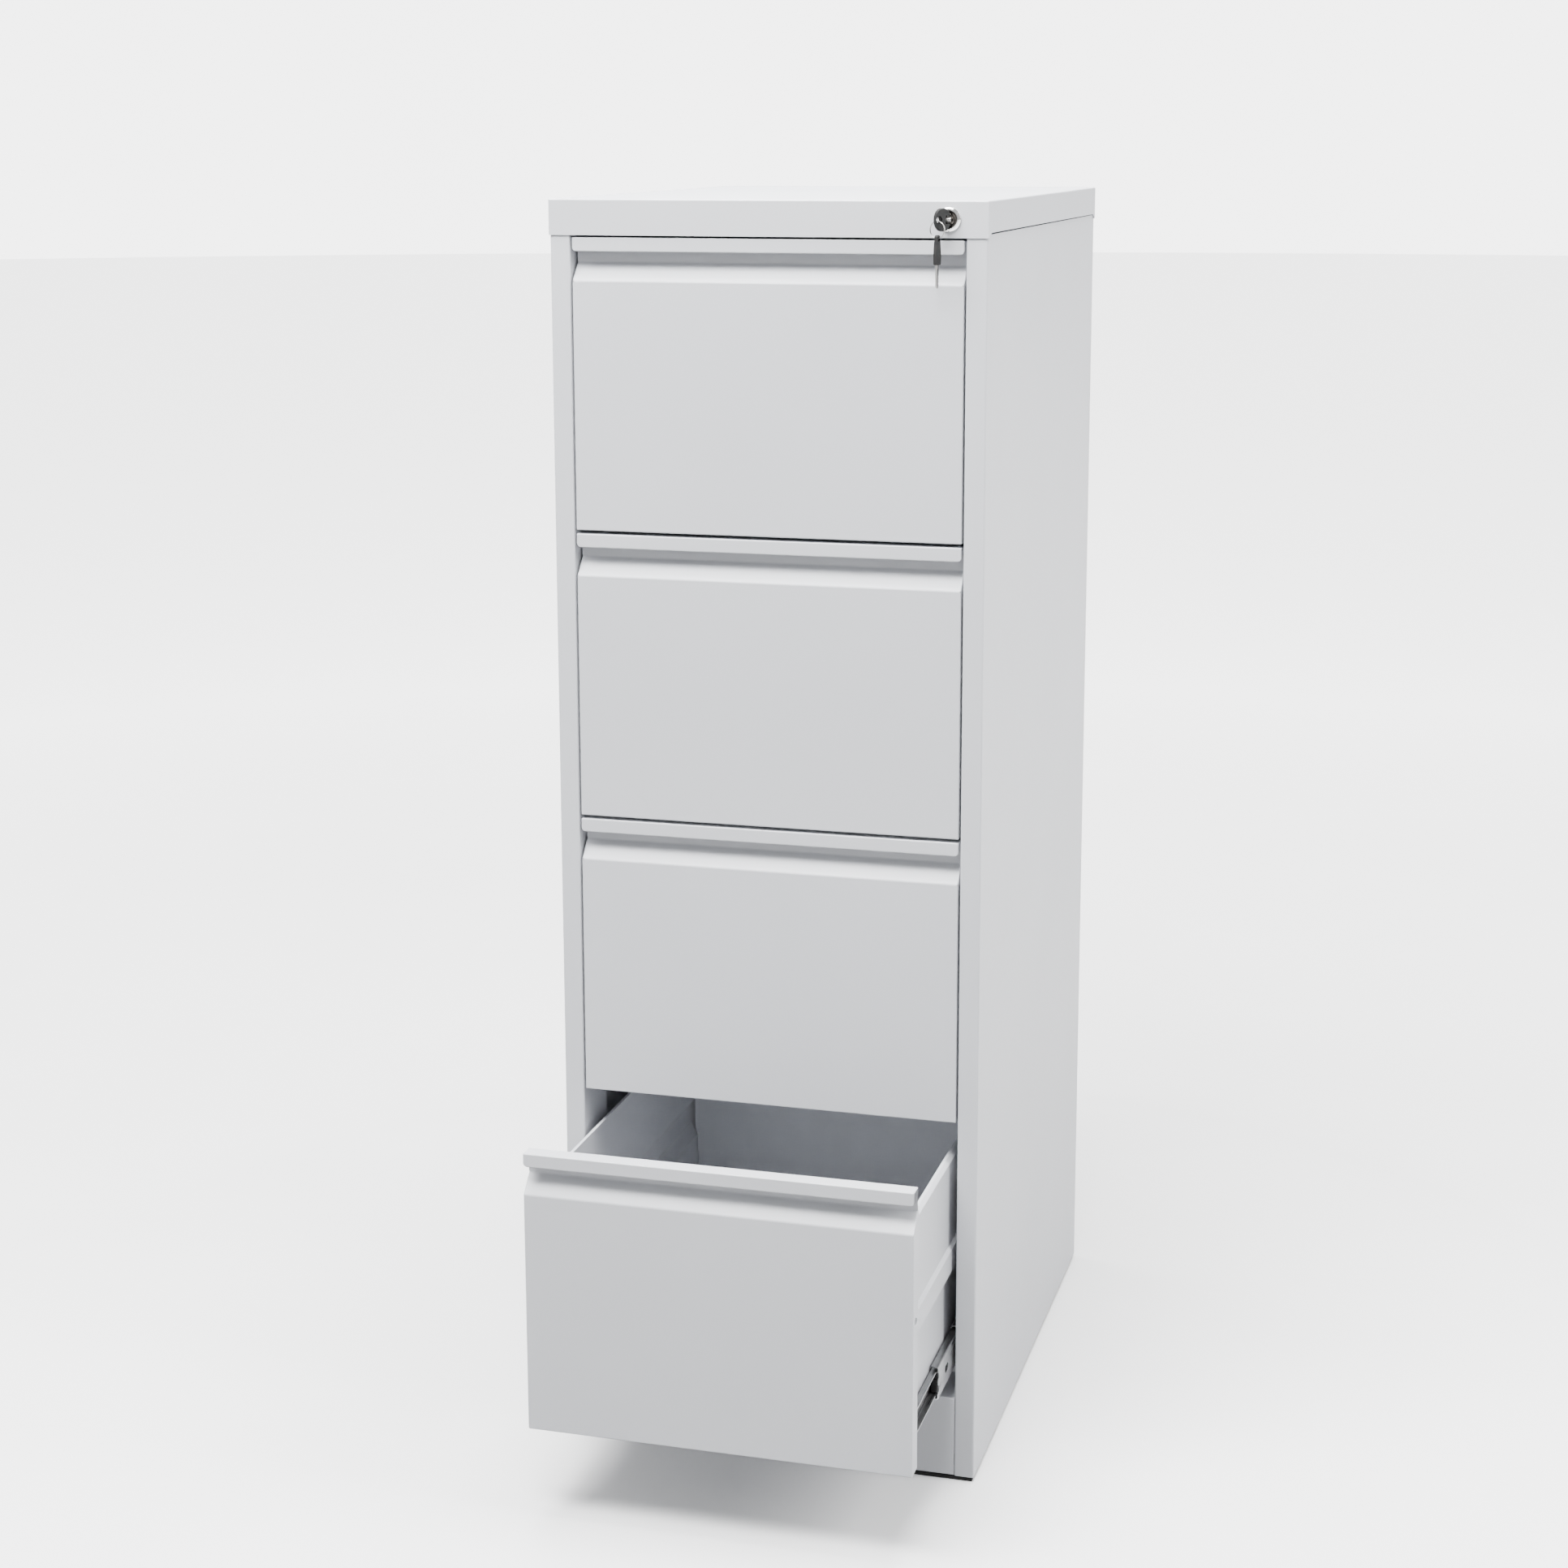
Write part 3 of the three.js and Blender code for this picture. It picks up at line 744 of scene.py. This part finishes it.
def tapered(start, end, width, top_width):
    """A key head's outline with square shoulders, narrowing to a round end at the ring."""
    reach = end - start
    side = [
        (start, width * 0.47),
        (start + reach * 0.34, width * 0.50),
        (start + reach * 0.80, top_width * 0.5),
        (end, top_width * 0.46),
    ]
    other = [(u, -v) for u, v in side[::-1]]
    return fillet([*side, *other], [1.2, 25, 14, 3.0, 3.0, 14, 25, 1.2], True, 6)


def flat_head(outline, half_thick, cuts):
    """A key's head, drawn flat with the fold pin at the origin."""
    bm = bmesh.new()
    prism(bm, outline, "z", -half_thick, half_thick, 0)
    rim = [e for e in bm.edges if abs(e.verts[0].co.z - e.verts[1].co.z) < 0.01]
    bmesh.ops.bevel(
        bm, geom=rim, offset=half_thick / 2, segments=4, profile=0.5, affect="EDGES"
    )
    return carved(bm, [cutter(cut, "z", -3, 3) for cut in cuts])


def flat_blade(half):
    """A key's blade, drawn flat: along -x from the fold pin, toothed on one edge."""
    length = BLADE_LENGTH
    shank = [(-1.6, -half), (-1.6, half), (2.5 - length, half), (-length, half * 0.2)]
    shank.append((-length, -half * 0.4))
    pitch = (length - 12) / 4
    for i in range(4):
        at = 1.5 + i * pitch - length
        shank += [(at, -half * (0.5 + 0.1 * (i % 2))), (at + pitch / 2, -half * 0.94)]
    shank.append((-8, -half))
    bm = bmesh.new()
    prism(bm, [Vector(p) for p in shank], "z", -0.9, 0.9, 0.12)
    groove = fillet(rectangle(3 - length, -6, half * 0.06, half * 0.47), [0.4] * 4, True)
    return carved(bm, [cutter(groove, "z", 0.45, 2), cutter(groove, "z", -2, -0.45)])


def with_knuckle(bm):
    """The blade with the knuckle that its folding head turns on."""
    bm = carved(bm, [cutter(circle(1.7, 24), "z", -5, 5)])
    ring = bmesh.new()
    prism(ring, circle(2.2, 32), "z", -KNUCKLE_HALF, KNUCKLE_HALF, 0.25)
    ring = carved(ring, [cutter(circle(1.13, 24), "z", -5, 5)])
    mesh = bpy.data.meshes.new("temporary")
    ring.to_mesh(mesh)
    ring.free()
    bm.from_mesh(mesh)
    bpy.data.meshes.remove(mesh)
    return bm


def turned(bm, along, across, origin):
    """Sets a flat drawn piece in place: along and across are where its x and y go."""
    third = along.cross(across)
    matrix = Matrix((along, across, third)).transposed().to_4x4()
    bmesh.ops.transform(bm, matrix=Matrix.Translation(origin) @ matrix, verts=bm.verts)
    return bm


def heading(degrees):
    """The level direction this far round from straight ahead, towards the left."""
    angle = math.radians(degrees)
    return Vector((-math.sin(angle), -math.cos(angle), 0))


def tube(bm, points, axis, radius, steps=10):
    """Adds a round wire along the points, which run round the axis."""
    loops = []
    for i, point in enumerate(points):
        ahead = (points[min(i + 1, len(points) - 1)] - points[max(i - 1, 0)]).normalized()
        side = ahead.cross(axis).normalized()
        up = side.cross(ahead)
        ring = []
        for k in range(steps):
            a = 2 * math.pi * k / steps
            ring.append(bm.verts.new(point + radius * (math.cos(a) * side + math.sin(a) * up)))
        loops.append(ring)
    faces = [bm.faces.new(loops[0]), bm.faces.new(loops[-1])]
    for a, b in zip(loops, loops[1:]):
        for i in range(steps):
            faces.append(bm.faces.new((a[i - 1], a[i], b[i], b[i - 1])))
    bmesh.ops.recalc_face_normals(bm, faces=faces)


lock_lo, lock_hi = box_mm("lock_housing")
PIVOT = Vector(((lock_lo.x + lock_hi.x) / 2, KEY_FOLD_Y, (lock_lo.z + lock_hi.z) / 2))
HEAD_ALONG = heading(KEY_FOLD_ANGLE)


def key_in_lock():
    blade = turned(with_knuckle(flat_blade(BLADE_HALF)), heading(0), UP, PIVOT)
    solid("key_in_lock_blade", blade, "key", "steel", ["key_blade"])
    cuts = [circle(2.5, 32, HEAD_HOLE, 0), rectangle(-4, 3.5, -4, 4)]
    head = flat_head(oval(-3, 18.7, 22), HEAD_HALF, cuts)
    # the hole widens at both faces, so that the ring can swing
    mouth = circle(3.6, 32, HEAD_HOLE - 0.7, 0)
    head = carved(head, [cutter(mouth, "z", 0.8, 3), cutter(mouth, "z", -3, -0.8)])
    head = turned(head, HEAD_ALONG, UP, PIVOT)
    solid("key_in_lock_head", head, "key_head", "black_plastic", ["key_head"])


def split_ring():
    lo, hi = box_mm("key_ring")
    centre = (lo + hi) / 2
    radius = (hi.z - lo.z) / 2 - CAD_RING_WIRE
    axis = heading(RING_ANGLE)
    across = axis.cross(UP).normalized()
    points = []
    count = 76
    for k in range(count + 1):
        angle = 2 * math.pi * RING_TURNS * k / count + math.pi * 0.55
        shift = (k / count - 0.5) * RING_PITCH
        around = across * math.cos(angle) + UP * math.sin(angle)
        points.append(centre + radius * around + axis * shift)
    wire = bmesh.new()
    tube(wire, points, axis, RING_WIRE)
    solid("split_ring", wire, "key_ring", "steel", ["key_ring"])


def spare_key():
    """The spare hangs by its hole from the foot of the ring."""
    top = PIVOT + HEAD_ALONG * HEAD_HOLE
    top.z = box_mm("key_ring")[0].z + CAD_RING_WIRE - 1.7 - SPARE_HOLE
    across = heading(SPARE_TURN)
    blade = turned(flat_blade(SPARE_BLADE_HALF), UP, across, top)
    solid("key_spare_blade", blade, "spare_key", "steel", ["spare_blade"])
    cuts = [circle(2.2, 32, SPARE_HOLE + 0.7, 0)]
    head = flat_head(tapered(-2.6, 26, 10.6, 7.4), SPARE_HEAD_HALF, cuts)
    head = turned(head, UP, across, top)
    solid("key_spare_head", head, "spare_key", "black_plastic", ["spare_head"])


# ------------------------------------------------------------------ assembly
for side, sign in SIDES:
    side_panel(side, sign)
    upgrade(f"upright_{side}", "zinc_plate", 0.25)
top_cap()
kick_plate()
upgrade("back_panel", "powder_coat", 0.3)
upgrade("rear_channel", "powder_coat", 0.3)
upgrade("floor_strip_front", "black_plastic", 0.4)
upgrade("floor_strip_rear", "black_plastic", 0.4)

front_source = front_mesh()
for n in range(1, 5):
    top = box_mm(f"drawer_{n}_front")[1].z
    drawer_front(n, front_source)
    tray(n, top)
    for side, sign in SIDES:
        drawer_wall(n, side, sign, top)
        for member in SECTIONS:
            slide_member(n, member, side, sign)
    ball_rows(n)
    slide_stops(n)
front_source.free()

lock()
upgrade("lock_core", "chrome", 0.15)
upgrade("lock_cam", "zinc_plate", 0.2)
upgrade("lock_bar", "zinc_plate", 0.2)
key_in_lock()
split_ring()
spare_key()


# ------------------------------------------------------------------ stage
FLOOR_RADIUS, WALL_RADIUS, WALL_HEIGHT, WALL_SIDES = 30, 29.0, 14.0, 96
FLOOR_GLOW, BACKDROP_GLOW, GLOW_REACH = 3.0, 4.5, 4.0


def linked(name, bm, material):
    mesh = bpy.data.meshes.new(name)
    bm.to_mesh(mesh)
    bm.free()
    mesh.materials.append(material)
    thing = bpy.data.objects.new(name, mesh)
    bpy.context.scene.collection.objects.link(thing)
    return thing


def pale_floor():
    """A pale disc that glows more and more away from the cabinet."""
    material, tree, shader, coords = nodes_of("pale_floor")
    colour = ramp(tree, noise(tree, coords, 3.0, 4.0), [(0.3, 0.88), (0.7, 0.91)])
    tree.links.new(colour, shader.inputs["Base Color"])
    shader.inputs["Roughness"].default_value = 0.8
    away = math_node(tree, "MULTIPLY", length_of(tree, coords), 1 / GLOW_REACH)
    glow = ramp(tree, away, [(0.25, 0.0), (1.0, 1.0)])
    tree.links.new(glow, shader.inputs["Emission Color"])
    shader.inputs["Emission Strength"].default_value = FLOOR_GLOW
    bm = bmesh.new()
    bmesh.ops.create_circle(bm, cap_ends=True, segments=WALL_SIDES, radius=FLOOR_RADIUS)
    floor = linked("floor", bm, material)
    floor.visible_diffuse = False


def backdrop():
    """A pale wall all round, far off, which only the camera sees."""
    material, tree, shader, coords = nodes_of("pale_backdrop")
    colour = ramp(tree, noise(tree, coords, 0.4, 2.0), [(0.3, 0.98), (0.7, 1.0)])
    tree.links.new(colour, shader.inputs["Emission Color"])
    shader.inputs["Emission Strength"].default_value = BACKDROP_GLOW
    bm = bmesh.new()
    rings = []
    for z in (0.0, WALL_HEIGHT):
        rings.append([bm.verts.new((*(WALL_RADIUS * p), z)) for p in circle(1.0, WALL_SIDES)])
    for i in range(WALL_SIDES):
        bm.faces.new((rings[0][i], rings[0][i - 1], rings[1][i - 1], rings[1][i]))
    wall = linked("backdrop", bm, material)
    wall.visible_diffuse = False
    wall.visible_glossy = False
    wall.visible_shadow = False


def area_light(name, place, target, size, power):
    data = bpy.data.lights.new(name, "AREA")
    data.shape = "RECTANGLE"
    data.size, data.size_y = size
    data.energy = power
    lamp = bpy.data.objects.new(name, data)
    bpy.context.scene.collection.objects.link(lamp)
    lamp.location = place
    aim = Vector(target) - Vector(place)
    lamp.rotation_euler = aim.to_track_quat("-Z", "Y").to_euler()


def studio_world():
    """Soft light from all round, greyer below the horizon."""
    world = bpy.data.worlds.new("studio")
    bpy.context.scene.world = world
    world.use_nodes = True
    sky = world.node_tree
    coords = sky.nodes.new("ShaderNodeTexCoord").outputs["Generated"]
    height = sky.nodes.new("ShaderNodeSeparateXYZ")
    sky.links.new(coords, height.inputs[0])
    stops = [(0.0, (0.52, 0.52, 0.53)), (0.03, (0.96, 0.97, 0.985))]
    dome = ramp(sky, height.outputs["Z"], stops)
    sky.links.new(dome, sky.nodes["Background"].inputs["Color"])
    sky.nodes["Background"].inputs["Strength"].default_value = 1.0


def view_camera(place, tilt, roll, pan):
    """The camera stands ahead and to the right of the cabinet; angles are in degrees."""
    data = bpy.data.cameras.new("camera")
    data.lens = 63.86
    data.sensor_width = 36.0
    data.shift_y = -0.07
    data.clip_end = 100.0
    camera = bpy.data.objects.new("camera", data)
    bpy.context.scene.collection.objects.link(camera)
    turn = Matrix.Translation(place)
    for degrees, axis in ((tilt, "X"), (roll, "Y"), (pan, "Z"), (90, "X")):
        turn = turn @ Matrix.Rotation(math.radians(degrees), 4, axis)
    camera.matrix_world = turn
    bpy.context.scene.camera = camera


pale_floor()
backdrop()
area_light("top_light", (0.0, 0.1, 3.3), (0, 0.1, 0.6), (1.8, 1.4), 290)
area_light("key_light", (-0.5, -1.5, 3.3), (0, -0.3, 0.7), (2.2, 1.0), 318)
area_light("side_light", (2.6, -0.3, 2.5), (0.2, 0.1, 0.8), (1.2, 2.0), 125)
studio_world()
view_camera((0.76464, -2.65976 + FACE_Y, 1.4), -10.767, -2.857, 15.375)
